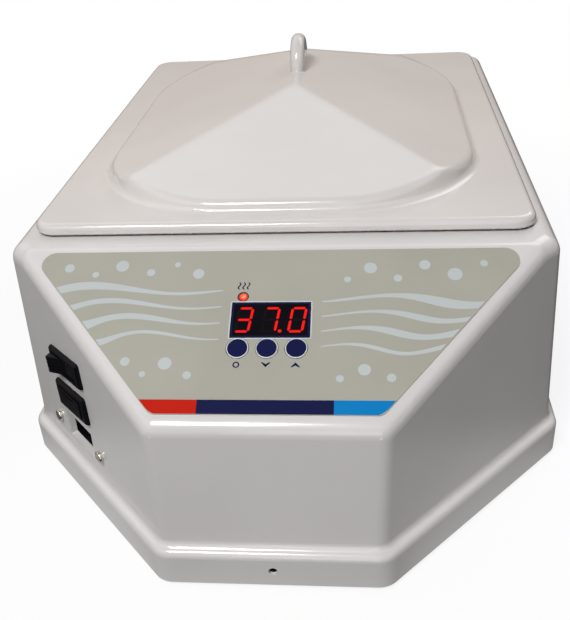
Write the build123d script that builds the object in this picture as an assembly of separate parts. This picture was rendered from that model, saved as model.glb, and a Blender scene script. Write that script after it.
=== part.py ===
from build123d import *
import math
import os

# A bench water bath for thawing plasma bags. A moulded glass-fibre housing with two
# cut-off front corners and a sloping panel carries a stainless tank, and a moulded
# lid with a hipped dome lies loose on the tank's flange.
# Millimetres. X runs to the right, Y to the back, Z up. The origin is the middle of
# the footprint, on the bench under the feet.

# Housing
deck_side_margin = 21.5
deck_front_margin = 110.0
deck_rear_margin = 27.0
front_flat = 110.0
chamfer_depth = 103.0
skirt_corner = 12.0
skirt_height = 20.0
skirt_step = 5.0
skirt_top_radius = 4.0
skirt_root_radius = 4.0
wall_draft = 3.0
chamfer_draft = 1.0
deck_height = 134.0
shell_wall = 3.5
shell_edge_radius = 8.5
shell_inner_radius = 5.0
panel_slope = 27.8
panel_setback = 95.0
foot_proud = 3.0
skirt_hole_height = 9.2
skirt_hole_radius = 2.25
fit_gap = 0.3

# Tank, a pressed half-size food pan with a flat flange
flange_margin = 9.5
flange_thickness = 1.0
flange_corner = 11.0
mouth_width = 240.0
mouth_length = 304.0
mouth_corner = 36.0
mouth_edge_radius = 2.5
tank_depth = 100.0
tank_wall = 1.0
tank_taper = 2.0
tank_floor_radius = 14.0
gasket_thickness = 1.0
gasket_set_in = 1.2
deck_hole_clearance = 2.0
insulation_thickness = 10.0
insulation_port_radius = 13.0

# Lid
lid_overhang = 1.0
lid_corner = 12.0
lid_rim_height = 5.0
lid_wall = 3.0
lid_edge_radius = 3.4
dome_side_margin = 22.1
dome_front_margin = 12.4
dome_rear_margin = 39.7
dome_corner = 78.0
dome_eave = 5.7
dome_wall_taper = 20.0
dome_rise = 30.4
ridge_front = 128.6
ridge_rear = 56.3
dome_edge_radius = 5.0
dome_foot_radius = 4.0
fin_length = 42.0
fin_height = 20.0
fin_thickness = 9.4
fin_shift = 3.0
fin_edge_radius = 4.4
fin_root_radius = 3.0
lip_depth = 4.0
lip_thickness = 3.0
lip_clearance = 2.0

# Base plate, feet and their screws
plate_thickness = 1.5
plate_clearance = 0.4
plate_recess = 2.0
tab_width = 16.0
tab_height = 11.0
set_screw_radius = 1.95
set_screw_length = 7.0
set_screw_sunk = 1.6
hex_socket_width = 2.0
foot_radius = 11.0
foot_taper = 8.0
foot_side_inset = 39.0
foot_flat_inset = 15.0
foot_front_inset = 30.0
foot_rear_inset = 34.0
foot_recess_radius = 5.0
foot_screw_radius = 2.0
foot_screw_head_radius = 4.0
foot_screw_head_height = 1.6
foot_web = 1.6
foot_nut_width = 7.0
foot_nut_height = 3.2
vent_length = 60.0
vent_width = 4.0
vent_pitch = 12.0
vent_count = 5
vent_setback = 330.0

# Heater, probe, thermostat and shelf in the tank
heater_radius = 4.0
heater_height = 24.0
port_corner_clearance = 9.0
heater_rear_margin = 40.0
heater_front_bend = 72.0
heater_tail = 16.0
gland_radius = 6.0
gland_flange_radius = 9.0
gland_flange = 2.0
gland_hex = 15.0
gland_nut = 5.0
probe_radius = 3.0
probe_reach = 32.0
probe_tail = 12.0
shelf_height = 36.0
shelf_margin = 6.0
shelf_thickness = 1.2
shelf_corner = 28.0
shelf_hole_radius = 6.0
shelf_pitch = 30.0
shelf_hole_margin = 12.0
shelf_slot_length = 76.0
shelf_slot_width = 18.0
shelf_leg_side = 10.8
shelf_leg_end = 48.8
shelf_leg_width = 30.0
thermostat_radius = 8.0
thermostat_thickness = 6.0

# Front panel: film, display, lamp and keys
film_side_margin = 25.0
film_foot_margin = 2.8
film_length = 88.4
film_thickness = 0.5
film_top_gap = 2.1
film_top_radius = 7.0
film_bottom_radius = 5.0
window_width = 38.0
window_height = 19.5
window_drop = 39.8
module_height = 8.0
lamp_radius = 2.0
lamp_x = -13.9
lamp_drop = 27.0
lamp_flange_radius = 2.5
lamp_flange_height = 1.0
key_radius = 5.2
key_x = -0.95
key_pitch = 13.7
key_drop = 55.0
key_thickness = 1.3
key_proud = 0.25
key_edge_radius = 0.25
key_stem_radius = 1.7
key_engagement = 0.6
board_width = 76.0
board_height = 50.0
board_thickness = 1.6
board_drop = 42.0
board_hole_inset = 4.0
tact_size = 6.0
tact_height = 4.0
tact_bore_depth = 1.6
standoff_radius = 3.0
board_screw_radius = 1.5
board_screw_head_radius = 2.8
board_screw_head_height = 1.6
board_screw_bite = 3.0

# Mains group on the left cut-off corner
mains_along = 84.0
mains_tilt = 5.0
switch_height = 82.3
switch_bezel_length = 33.0
switch_bezel_height = 14.6
bezel_thickness = 2.2
bezel_bevel = 1.1
bezel_radius = 1.2
switch_body_length = 28.4
switch_body_height = 12.6
switch_body_depth = 17.5
rocker_radius = 13.2
rocker_width = 9.4
rocker_pivot_depth = 2.0
rocker_tip = 5.8
rocker_valley = 3.4
rocker_swing = 13.0
blade_width = 6.3
blade_thickness = 0.8
blade_length = 8.0
blade_pitch = 9.0
fuse_height = 60.7
fuse_bezel_height = 16.0
fuse_body_length = 28.4
fuse_body_height = 13.0
fuse_body_depth = 25.0
drawer_length = 24.0
drawer_height = 9.6
drawer_depth = 22.0
drawer_proud = 0.6
fuse_length = 20.0
fuse_radius = 2.2
fuse_bore_radius = 1.7
fuse_cap_radius = 2.8
fuse_cap_length = 5.0
fuse_cap_wall = 0.5
inlet_height = 38.6
inlet_shift = 1.6
inlet_cut_length = 28.5
inlet_cut_height = 16.5
inlet_flange_length = 58.0
inlet_flange_height = 21.0
inlet_flange_thickness = 2.5
inlet_body_length = 27.0
inlet_body_height = 19.6
inlet_body_depth = 17.5
inlet_socket_length = 24.2
inlet_socket_height = 15.8
inlet_socket_depth = 15.0
inlet_socket_chamfer = 4.0
inlet_corner = 2.0
pin_length = 12.0
pin_height = 4.0
pin_thickness = 2.0
pin_spread = 7.0
pin_offset = 2.0
inlet_screw_spread = 47.5
inlet_screw_drop = 1.8
inlet_screw_radius = 1.5
inlet_screw_head_radius = 3.3
inlet_screw_head_height = 2.0
inlet_screw_end = 1.2
inlet_nut_width = 5.5
inlet_nut_height = 2.4

# Power board on the base plate
power_board_width = 88.0
power_board_length = 62.0
power_board_setback = 68.0
power_standoff = 6.0
transformer_x = -21.0
transformer_width = 40.0
transformer_depth = 34.0
transformer_height = 36.0
relay_x = 24.0
relay_shift = -12.0
relay_width = 28.0
relay_depth = 13.0
relay_height = 16.0
terminal_x = 19.0
terminal_shift = 22.0
terminal_pitch = 7.5
terminal_count = 4
terminal_depth = 10.0
terminal_height = 12.0
terminal_screw_radius = 1.8
earth_x = -72.0
earth_y = -150.0
earth_stud_radius = 2.5
earth_stud_height = 14.0
earth_nut_width = 8.0
earth_nut_height = 4.0

# Sizes, levels and places that follow from the sizes above
flange_width = mouth_width + 2 * flange_margin
flange_length = mouth_length + 2 * flange_margin
overall_width = flange_width + 2 * deck_side_margin
overall_depth = deck_front_margin + flange_length + deck_rear_margin
lid_width = flange_width + 2 * lid_overhang
lid_length = flange_length + 2 * lid_overhang
dome_width = lid_width - 2 * dome_side_margin
film_top_width = overall_width - 2 * film_side_margin
film_bottom_width = front_flat - 2 * film_foot_margin
skirt_z = foot_proud
deck_z = skirt_z + deck_height
flange_z = deck_z + gasket_thickness
rim_z = flange_z + flange_thickness
lid_top_z = rim_z + lid_rim_height
front_y = -overall_depth / 2
back_y = overall_depth / 2
tank_y = front_y + deck_front_margin + flange_length / 2
well_floor_z = rim_z - tank_depth + tank_wall
plate_z = skirt_z + plate_recess
plate_top_z = plate_z + plate_thickness
chamfer_run = (overall_width - front_flat) / 2
chamfer_length = math.hypot(chamfer_run, chamfer_depth)
chamfer_angle = math.atan2(chamfer_depth, chamfer_run)
slope_sin = math.sin(math.radians(panel_slope))
slope_cos = math.cos(math.radians(panel_slope))
wall_front_y = tank_y - mouth_length / 2
board_depth = module_height
board_points = [
    (x * (board_width / 2 - board_hole_inset), board_drop + y * (board_height / 2 - board_hole_inset))
    for x in (-1, 1)
    for y in (-1, 1)
]
power_board_y = front_y + power_board_setback
power_board_z = plate_top_z + power_standoff
power_board_points = [
    (
        x * (power_board_width / 2 - board_hole_inset),
        power_board_y + y * (power_board_length / 2 - board_hole_inset),
    )
    for x in (-1, 1)
    for y in (-1, 1)
]
port_side = mouth_width / 2 - mouth_corner - gland_flange_radius - port_corner_clearance
heater_bend_radius = port_side / 3
thermostat_x = port_side / 2
foot_front_x = front_flat / 2 - foot_flat_inset
foot_rear_x = overall_width / 2 - foot_side_inset
foot_points = [
    (-foot_front_x, front_y + foot_front_inset),
    (foot_front_x, front_y + foot_front_inset),
    (-foot_rear_x, back_y - foot_rear_inset),
    (foot_rear_x, back_y - foot_rear_inset),
]


def tangent(degrees):
    """Tangent of an angle given in degrees."""
    return math.tan(math.radians(degrees))


def slab(length, width, thickness, radius=0.0):
    """A plate standing on the local XY plane, with rounded corners."""
    face = RectangleRounded(length, width, radius) if radius else Rectangle(length, width)
    return extrude(face, thickness)


def rod(radius, length):
    """A round bar standing on the local XY plane."""
    return Cylinder(radius, length, align=(Align.CENTER, Align.CENTER, Align.MIN))


def hexagon(width, height):
    """A hexagonal bar standing on the local XY plane, width across its flats."""
    return extrude(RegularPolygon(width / 2, 6, major_radius=False), height)


def pan_screw(radius, length, head_radius, head_height):
    """A pan-head screw, its head's underside on the local XY plane and its shank below."""
    head = rod(head_radius, head_height)
    head = fillet(head.edges().sort_by(Axis.Z)[-1], 0.45 * head_height)
    slot = Pos(0, 0, head_height) * Box(2 * head_radius, 0.2 * head_radius, head_height)
    return head - slot + Pos(0, 0, -length) * rod(radius, length)


def wall_insets(height):
    """Distance in from the skirt's outline to the straight walls and to the cut-off walls."""
    rise = height - skirt_height
    return skirt_step + rise * tangent(wall_draft), skirt_step + rise * tangent(chamfer_draft)


def plan_outline(wall_inset, chamfer_inset, z, radius=0.0):
    """The housing's plan, a rectangle with cut-off front corners, drawn in on every side."""
    half = overall_width / 2 - wall_inset
    shift = chamfer_inset * chamfer_length
    front_x = front_flat / 2 + (wall_inset * chamfer_run - shift) / chamfer_depth
    side_y = front_y + ((half - front_flat / 2) * chamfer_depth + shift) / chamfer_run
    points = [
        (-front_x, front_y + wall_inset),
        (front_x, front_y + wall_inset),
        (half, side_y),
        (half, back_y - wall_inset),
        (-half, back_y - wall_inset),
        (-half, side_y),
    ]
    face = make_face(Polyline(*points, close=True))
    if radius:
        face = fillet(face.vertices(), radius)
    return Pos(0, 0, z) * face


def panel_plane(depth=0.0):
    """Plane of the sloping panel, its origin at the deck edge, Y up the slope and Z outwards."""
    origin = Vector(0, front_y + panel_setback, deck_z) - Vector(0, -slope_sin, slope_cos) * depth
    return Plane(origin=origin, x_dir=(1, 0, 0), z_dir=(0, -slope_sin, slope_cos))


def on_panel(x, drop, depth=0.0):
    """Place on the panel, drop below the film's top edge and depth under the panel's skin."""
    return panel_plane().location * Pos(x, -film_top_gap - drop, -depth)


def on_chamfer(along, height, depth=0.0):
    """Place on the left cut-off wall, X to the right seen from outside, Y up and Z outwards.

    along is measured on the skirt's outline from the front flat, height from the skirt's
    foot, and depth under the wall's skin.
    """
    inward = Vector(math.sin(chamfer_angle), math.cos(chamfer_angle), 0)
    along_dir = Vector(-math.cos(chamfer_angle), math.sin(chamfer_angle), 0)
    lean = math.radians(chamfer_draft)
    outward = inward * (-math.cos(lean)) + Vector(0, 0, math.sin(lean))
    foot = Vector(-front_flat / 2, front_y, skirt_z)
    point = foot + along_dir * along + inward * wall_insets(height)[1] + Vector(0, 0, height)
    return Plane(origin=point - outward * depth, x_dir=along_dir * -1, z_dir=outward).location


def on_mains(height, depth=0.0):
    """Place in the mains group's upright row, turned a little, its front end up."""
    return on_chamfer(mains_along, height, depth) * Rot(0, 0, mains_tilt)


def upper_block(inset, radius):
    """The housing above the skirt as a solid, its faces moved in by inset and edges rounded."""
    low = wall_insets(0)
    high = wall_insets(deck_height)
    walls = loft(
        [
            plan_outline(low[0] + inset, low[1] + inset, skirt_z),
            plan_outline(high[0] + inset, high[1] + inset, deck_z),
        ],
        ruled=True,
    )
    over = Box(2 * overall_width, 2 * overall_depth, deck_height, align=(Align.CENTER, Align.CENTER, Align.MIN))
    walls = walls - Pos(0, 0, deck_z - inset) * over - panel_plane(inset).location * over
    edges = [edge for edge in walls.edges() if edge.center().Z > skirt_z + 0.01]
    return fillet(edges, radius)


def skirt_block(inset, radius):
    """The skirt as a solid, its sides moved in by inset and its top lowered by inset."""
    return extrude(plan_outline(inset, inset, skirt_z, radius), skirt_height - inset)


def skirt_hole_places():
    """Frames at the four screw holes of the skirt, Z pointing outwards from the skin."""
    z = skirt_z + skirt_hole_height
    middle_y = front_y + 0.6 * overall_depth
    return [
        Plane(origin=(0, front_y, z), x_dir=(1, 0, 0), z_dir=(0, -1, 0)).location,
        Plane(origin=(0, back_y, z), x_dir=(-1, 0, 0), z_dir=(0, 1, 0)).location,
        Plane(origin=(-overall_width / 2, middle_y, z), x_dir=(0, -1, 0), z_dir=(-1, 0, 0)).location,
        Plane(origin=(overall_width / 2, middle_y, z), x_dir=(0, 1, 0), z_dir=(1, 0, 0)).location,
    ]


def deck_hole(margin=0.0):
    """Outline of the deck's hole for the tank, drawn out by margin."""
    grow = tank_wall + deck_hole_clearance + margin
    return RectangleRounded(mouth_width + 2 * grow, mouth_length + 2 * grow, mouth_corner + grow)


def housing_shell():
    """The moulded shell: rounded outer skin, hollow from below, with all its openings."""
    outer = upper_block(0, shell_edge_radius)
    skirt = skirt_block(0, skirt_corner)
    skirt = fillet(skirt.faces().sort_by(Axis.Z)[-1].edges(), skirt_top_radius)
    shell = outer + skirt
    step_z = skirt_z + skirt_height
    root = [
        edge
        for edge in shell.edges()
        if abs(edge.center().Z - step_z) < 0.3 and edge.bounding_box().size.Z < 0.5
    ]
    shell = fillet(root, skirt_root_radius)
    shell -= upper_block(shell_wall, shell_inner_radius)
    shell -= skirt_block(shell_wall, skirt_corner - shell_wall)
    shell -= Pos(0, tank_y, deck_z - 2 * shell_wall) * extrude(deck_hole(), 3 * shell_wall)
    shell -= panel_cuts(2 * shell_wall)
    for place, length, height in (
        (on_mains(switch_height), switch_body_length, switch_body_height),
        (on_mains(fuse_height), fuse_body_length, fuse_body_height),
    ):
        cut = Box(length + 2 * fit_gap, height + 2 * fit_gap, 4 * shell_wall)
        shell -= place * cut
    shell -= on_chamfer(mains_along, inlet_height) * Box(inlet_cut_length, inlet_cut_height, 4 * shell_wall)
    for place in inlet_screw_places():
        shell -= place * Cylinder(inlet_screw_radius + fit_gap, 4 * shell_wall)
    for place in skirt_hole_places():
        shell -= place * Cylinder(skirt_hole_radius, 4 * shell_wall)
    return shell


def panel_cuts(depth):
    """Everything that is cut through the film and the panel: window, lamp and key holes."""
    cuts = on_panel(0, window_drop) * Box(window_width, window_height, 2 * depth)
    cuts += on_panel(lamp_x, lamp_drop) * Cylinder(lamp_radius + fit_gap, 2 * depth)
    for place in key_places():
        cuts += place * Cylinder(key_radius + fit_gap, 2 * depth)
    return cuts


def key_places():
    """Frames of the three keys on the panel's skin, from left to right."""
    return [on_panel(key_x + step * key_pitch, key_drop) for step in (-1, 0, 1)]


def inlet_screw_places():
    """Frames of the two inlet screws on the wall's skin."""
    half = inlet_screw_spread / 2
    middle = mains_along + inlet_shift
    height = inlet_height - inlet_screw_drop
    return [on_chamfer(middle + side * half, height) for side in (-1, 1)]


def base_plate():
    """Bent sheet closing the housing from below, with a screw tab at each skirt hole."""
    inset = shell_wall + plate_clearance
    outline = plan_outline(inset, inset, plate_z, skirt_corner - inset)
    plate = extrude(outline, plate_thickness)
    hole_z = skirt_z + skirt_hole_height
    tab_z = plate_z + (plate_thickness + tab_height) / 2
    for place in skirt_hole_places():
        tab = Pos(0, tab_z - hole_z, -inset - plate_thickness / 2) * Box(
            tab_width, plate_thickness + tab_height, plate_thickness
        )
        plate += place * tab
        plate -= place * Pos(0, 0, -inset) * Cylinder(skirt_hole_radius, 4 * plate_thickness)
    for x, y in foot_points:
        plate -= Pos(x, y, plate_z) * Cylinder(foot_screw_radius + fit_gap, 4 * plate_thickness)
    slot = SlotOverall(vent_length, vent_width)
    for row in range(vent_count):
        y = front_y + vent_setback + row * vent_pitch
        plate -= Pos(0, y, plate_z - plate_thickness) * extrude(slot, 3 * plate_thickness)
    return plate


def base_screws():
    """Socket set screws sunk in the skirt's holes and screwed into the plate's tabs."""
    screw = rod(set_screw_radius, set_screw_length)
    screw -= Pos(0, 0, set_screw_length - 2.0) * hexagon(hex_socket_width, 2.5)
    lowered = Pos(0, 0, -set_screw_sunk - set_screw_length) * screw
    return [place * lowered for place in skirt_hole_places()]


def feet():
    """Four rubber feet, recessed from below for their screws."""
    height = plate_z
    foot = Cone(
        foot_radius - height * tangent(foot_taper),
        foot_radius,
        height,
        align=(Align.CENTER, Align.CENTER, Align.MIN),
    )
    foot -= rod(foot_recess_radius, height - foot_web)
    foot -= rod(foot_screw_radius + fit_gap, height)
    return [Pos(x, y, 0) * foot for x, y in foot_points]


def foot_screws():
    """Screws up through the feet and the plate, their heads in the feet's recesses."""
    length = foot_web + plate_thickness + foot_nut_height + 1.0
    screw = pan_screw(foot_screw_radius, length, foot_screw_head_radius, foot_screw_head_height)
    turned = Rot(180, 0, 0) * screw
    return [Pos(x, y, plate_z - foot_web) * turned for x, y in foot_points]


def nut(width, height, screw_radius):
    """A hexagonal nut standing on the local XY plane, bored clear of its screw."""
    return hexagon(width, height) - rod(screw_radius + fit_gap, height)


def foot_nuts():
    """Nuts of the foot screws on top of the plate."""
    piece = nut(foot_nut_width, foot_nut_height, foot_screw_radius)
    return [Pos(x, y, plate_top_z) * piece for x, y in foot_points]


def tank_well(grow, low_z, floor_radius):
    """The tank's well as a solid down to low_z, its walls moved out by grow."""
    shrink = 2 * (rim_z - low_z) * tangent(tank_taper)
    width = mouth_width + 2 * grow
    length = mouth_length + 2 * grow
    corner = mouth_corner + grow
    top = Pos(0, tank_y, rim_z) * RectangleRounded(width, length, corner)
    low = Pos(0, tank_y, low_z) * RectangleRounded(width - shrink, length - shrink, corner - shrink / 2)
    well = loft([low, top], ruled=True)
    return fillet(well.faces().sort_by(Axis.Z)[0].edges(), floor_radius)


def inner_well():
    """The space inside the tank."""
    return tank_well(0, well_floor_z, tank_floor_radius - tank_wall)


def outer_well():
    """The tank's well with its wall."""
    return tank_well(tank_wall, well_floor_z - tank_wall, tank_floor_radius)


def tank_ports():
    """Places in the tank's front wall for the heater's two ends and the probe."""
    z = well_floor_z + heater_height
    return [(-port_side, z), (0, z), (port_side, z)]


def bar_along_y(radius, x, z, start_y, end_y):
    """A round bar along Y between two places."""
    place = Plane(origin=(x, start_y, z), x_dir=(1, 0, 0), z_dir=(0, 1, 0)).location
    return place * rod(radius, end_y - start_y)


def tank():
    """Pressed stainless pan hanging by its flange, with a rounded mouth and three ports."""
    flange = Pos(0, tank_y, flange_z) * slab(flange_width, flange_length, flange_thickness, flange_corner)
    pan = flange + outer_well() - inner_well()
    mouth = [
        edge
        for edge in pan.edges()
        if abs(edge.center().Z - rim_z) < 0.01
        and abs(edge.center().X) < mouth_width / 2 + 0.5
        and abs(edge.center().Y - tank_y) < mouth_length / 2 + 0.5
    ]
    pan = fillet(mouth, mouth_edge_radius)
    for x, z in tank_ports():
        pan -= bar_along_y(gland_radius + fit_gap, x, z, wall_front_y - 10, wall_front_y + 20)
    return pan


def tank_gasket():
    """Flat seal between the deck and the tank's flange."""
    outline = RectangleRounded(
        flange_width - 2 * gasket_set_in, flange_length - 2 * gasket_set_in, flange_corner - gasket_set_in
    )
    ring = extrude(outline - deck_hole(1.0), gasket_thickness)
    return Pos(0, tank_y, deck_z) * ring


def tank_insulation():
    """Foam jacket around the well, with clearance holes for what passes the front wall."""
    inner_grow = tank_wall + fit_gap
    outer_grow = inner_grow + insulation_thickness
    low = well_floor_z - tank_wall
    jacket = tank_well(outer_grow, low - outer_grow + tank_wall, tank_floor_radius)
    jacket -= tank_well(inner_grow, low - fit_gap, tank_floor_radius)
    top = deck_z - shell_wall - fit_gap
    jacket -= Pos(0, tank_y, top) * slab(2 * mouth_width, 2 * mouth_length, tank_depth)
    ports = tank_ports() + [(thermostat_x, tank_ports()[0][1])]
    for x, z in ports:
        jacket -= bar_along_y(insulation_port_radius, x, z, wall_front_y - 40, wall_front_y + 30)
    return jacket


def heater():
    """Bent tube element over the floor, both ends out through the front wall."""
    z = well_floor_z + heater_height
    bend = heater_bend_radius
    rear_y = tank_y + mouth_length / 2 - heater_rear_margin - bend
    turn_y = wall_front_y + heater_front_bend
    end_y = wall_front_y - heater_tail
    path = Line((-3 * bend, end_y, z), (-3 * bend, rear_y, z))
    path += ThreePointArc((-3 * bend, rear_y, z), (-2 * bend, rear_y + bend, z), (-bend, rear_y, z))
    path += Line((-bend, rear_y, z), (-bend, turn_y, z))
    path += ThreePointArc((-bend, turn_y, z), (0, turn_y - bend, z), (bend, turn_y, z))
    path += Line((bend, turn_y, z), (bend, rear_y, z))
    path += ThreePointArc((bend, rear_y, z), (2 * bend, rear_y + bend, z), (3 * bend, rear_y, z))
    path += Line((3 * bend, rear_y, z), (3 * bend, end_y, z))
    section = Plane(origin=path @ 0, z_dir=path % 0).location * Circle(heater_radius)
    return sweep(section, path)


def gland(x, z, bore):
    """Threaded gland in the tank's front wall: collar inside, neck and nut outside."""
    wall_in = wall_front_y + (rim_z - z) * tangent(tank_taper)
    wall_out = wall_in - tank_wall
    collar_end = wall_in + gland_flange
    nut_end = wall_out - gland_nut
    collar = bar_along_y(gland_flange_radius, x, z, wall_out - 5, collar_end) & inner_well()
    neck = bar_along_y(gland_radius, x, z, nut_end, collar_end)
    place = Plane(origin=(x, nut_end, z), x_dir=(1, 0, 0), z_dir=(0, 1, 0)).location
    ring = place * hexagon(gland_hex, gland_nut + 3) - outer_well()
    body = collar + neck + ring
    return body - bar_along_y(bore + fit_gap, x, z, nut_end - 5, collar_end + 5)


def heater_glands():
    """Glands that hold the heater's two ends."""
    ports = tank_ports()
    return [gland(x, z, heater_radius) for x, z in (ports[0], ports[2])]


def temperature_probe():
    """Round-ended sensor tube through the middle of the front wall."""
    x, z = tank_ports()[1]
    end_y = wall_front_y + probe_reach
    tube = bar_along_y(probe_radius, x, z, wall_front_y - probe_tail, end_y)
    return fillet(tube.edges().sort_by(Axis.Y)[-1], 0.9 * probe_radius)


def safety_thermostat():
    """Disc thermostat clamped on the outside of the tank's front wall."""
    z = tank_ports()[0][1]
    wall_out = wall_front_y + (rim_z - z) * tangent(tank_taper) - tank_wall
    disc = bar_along_y(thermostat_radius, thermostat_x, z, wall_out - thermostat_thickness, wall_out + 3)
    disc -= outer_well()
    for side in (-1, 1):
        tag = Box(blade_thickness, 6.0, 4.0)
        disc += Pos(thermostat_x + side * 4.0, wall_out - thermostat_thickness - 2.5, z) * tag
    return disc


def tank_shelf():
    """Perforated stainless shelf over the heater, on four folded legs."""
    at_shelf = (rim_z - well_floor_z - shelf_height) * tangent(tank_taper) + shelf_margin
    width = mouth_width - 2 * at_shelf
    length = mouth_length - 2 * at_shelf
    sheet = slab(width, length, shelf_thickness, shelf_corner)
    columns = int((width / 2 - shelf_hole_margin) / shelf_pitch)
    rows = int((length / 2 - shelf_hole_margin) / shelf_pitch)
    holes = []
    for column in range(-columns, columns + 1):
        for row in range(-rows, rows + 1):
            if abs(column) > 1 or abs(row) != rows - 1:
                place = Pos(column * shelf_pitch, row * shelf_pitch, shelf_thickness / 2)
                holes.append(place * Cylinder(shelf_hole_radius, 2 * shelf_thickness))
    for side in (-1, 1):
        grip = extrude(SlotOverall(shelf_slot_length, shelf_slot_width), 3 * shelf_thickness)
        holes.append(Pos(0, side * (rows - 1) * shelf_pitch, -shelf_thickness) * grip)
    sheet -= holes
    leg = Box(shelf_thickness, shelf_leg_width, shelf_height)
    leg_x = width / 2 - shelf_leg_side
    leg_y = length / 2 - shelf_leg_end
    for x in (-leg_x, leg_x):
        for y in (-leg_y, leg_y):
            sheet += Pos(x, y, -shelf_height / 2) * leg
    return Pos(0, tank_y, well_floor_z + shelf_height) * sheet


def dome(inset):
    """The lid's hipped dome as a solid from the lid's top, its faces moved in by inset."""
    front = tank_y - lid_length / 2 + dome_front_margin
    back = tank_y + lid_length / 2 - dome_rear_margin
    middle = (front + back) / 2
    reach = 40.0
    sections = []
    for rise in (-lid_wall, reach):
        draw_in = inset + rise * tangent(dome_wall_taper)
        outline = RectangleRounded(
            dome_width - 2 * draw_in, back - front - 2 * draw_in, dome_corner - draw_in
        )
        sections.append(Pos(0, middle, lid_top_z + rise) * outline)
    walls = loft(sections, ruled=True)
    top = lid_top_z + dome_rise - inset
    fall = dome_rise - dome_eave
    eave_in = dome_eave * tangent(dome_wall_taper)
    side_slope = fall / (dome_width / 2 - eave_in)
    front_slope = fall / (ridge_front - eave_in)
    rear_slope = fall / (ridge_rear - eave_in)
    base = lid_top_z - 2 * reach
    across = [
        (-dome_width, top - side_slope * dome_width),
        (0, top),
        (dome_width, top - side_slope * dome_width),
        (dome_width, base),
        (-dome_width, base),
    ]
    along = [
        (front - reach, top - front_slope * (ridge_front + reach)),
        (front + ridge_front, top),
        (back - ridge_rear, top),
        (back + reach, top - rear_slope * (ridge_rear + reach)),
        (back + reach, base),
        (front - reach, base),
    ]
    side_roof = extrude(Plane.XZ * make_face(Polyline(*across, close=True)), overall_depth, both=True)
    end_roof = extrude(Plane.YZ * make_face(Polyline(*along, close=True)), overall_width, both=True)
    return walls & side_roof & end_roof


def fin():
    """The finger grip on the ridge, a half ellipse with full round edges."""
    profile = Ellipse(fin_length / 2, fin_height)
    plate = extrude(Plane.YZ * profile, fin_thickness / 2, both=True)
    plate = fillet(plate.edges(), fin_edge_radius)
    ridge_start = tank_y - lid_length / 2 + dome_front_margin + ridge_front
    ridge_end = tank_y + lid_length / 2 - dome_rear_margin - ridge_rear
    middle = (ridge_start + ridge_end) / 2 + fin_shift
    return Pos(0, middle, lid_top_z + dome_rise - 0.6) * plate


def lid():
    """The moulded lid: rounded rim, hipped dome with its grip, hollow below, locating lip."""
    rim = Pos(0, tank_y, rim_z) * slab(lid_width, lid_length, lid_rim_height, lid_corner)
    rim = fillet(rim.faces().sort_by(Axis.Z)[-1].edges(), lid_edge_radius)
    roof = dome(0)
    crests = [edge for edge in roof.edges() if edge.bounding_box().min.Z > lid_top_z + 0.5]
    roof = fillet(crests, dome_edge_radius)
    body = rim + roof
    half_x = dome_width / 2 + 1
    foot = [
        edge
        for edge in body.edges()
        if abs(edge.center().Z - lid_top_z) < 0.01 and abs(edge.center().X) < half_x
        and edge.bounding_box().size.Z < 0.01
        and edge.center().Y > tank_y - lid_length / 2 + dome_front_margin - 1
        and edge.center().Y < tank_y + lid_length / 2 - dome_rear_margin + 1
    ]
    body = fillet(foot, dome_foot_radius)
    body += fin()
    lip_shape = mouth_width - 2 * lip_clearance, mouth_length - 2 * lip_clearance
    lip = Pos(0, tank_y, rim_z - lip_depth) * slab(
        lip_shape[0], lip_shape[1], lip_depth + lid_rim_height / 2, mouth_corner - lip_clearance
    )
    hollow = Pos(0, tank_y, rim_z - lip_depth) * slab(
        lip_shape[0] - 2 * lip_thickness,
        lip_shape[1] - 2 * lip_thickness,
        lip_depth + lid_rim_height - lid_wall,
        mouth_corner - lip_clearance - lip_thickness,
    )
    return body + lip - hollow - dome(lid_wall)


def panel_overlay():
    """Printed film stuck on the sloping panel, cut out for window, lamp and keys."""
    half_top = film_top_width / 2
    half_low = film_bottom_width / 2
    points = [(-half_top, 0), (half_top, 0), (half_low, -film_length), (-half_low, -film_length)]
    face = make_face(Polyline(*points, close=True))
    face = fillet(face.vertices().filter_by(lambda v: v.Y > -1), film_top_radius)
    face = fillet(face.vertices().filter_by(lambda v: v.Y < -film_length + 1), film_bottom_radius)
    film = on_panel(0, 0) * extrude(face, film_thickness)
    return film - panel_cuts(2 * film_thickness)


def display_module():
    """Three-digit display block standing on its board and filling the panel's window."""
    block = Box(
        window_width - 2 * fit_gap,
        window_height - 2 * fit_gap,
        module_height,
        align=(Align.CENTER, Align.CENTER, Align.MAX),
    )
    return on_panel(0, window_drop) * block


def display_window():
    """Smoked lens on the display, level with the film."""
    lens = slab(window_width - 2 * fit_gap, window_height - 2 * fit_gap, film_thickness)
    return on_panel(0, window_drop) * lens


def display_board():
    """Circuit board under the panel."""
    board = slab(board_width, board_height, board_thickness, 1.5)
    board = on_panel(0, board_drop, board_depth + board_thickness) * board
    for x, drop in board_points:
        board -= on_panel(x, drop, board_depth) * Cylinder(board_screw_radius + fit_gap, 4 * board_thickness)
    return board


def board_standoffs():
    """Threaded spacers from the panel's inside to the board."""
    post = rod(standoff_radius, board_depth - shell_wall)
    post -= rod(board_screw_radius + fit_gap, board_depth - shell_wall)
    return [on_panel(x, drop, board_depth) * post for x, drop in board_points]


def board_screws():
    """Screws holding the board to its spacers from below."""
    length = board_thickness + board_screw_bite
    screw = pan_screw(board_screw_radius, length, board_screw_head_radius, board_screw_head_height)
    turned = Rot(180, 0, 0) * screw
    return [on_panel(x, drop, board_depth + board_thickness) * turned for x, drop in board_points]


def tact_switches():
    """Push switches under the keys, bored for the keys' stems."""
    block = slab(tact_size, tact_size, tact_height)
    block -= Pos(0, 0, tact_height - tact_bore_depth) * rod(key_stem_radius + fit_gap, tact_bore_depth)
    return [place * Pos(0, 0, -board_depth) * block for place in key_places()]


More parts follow.
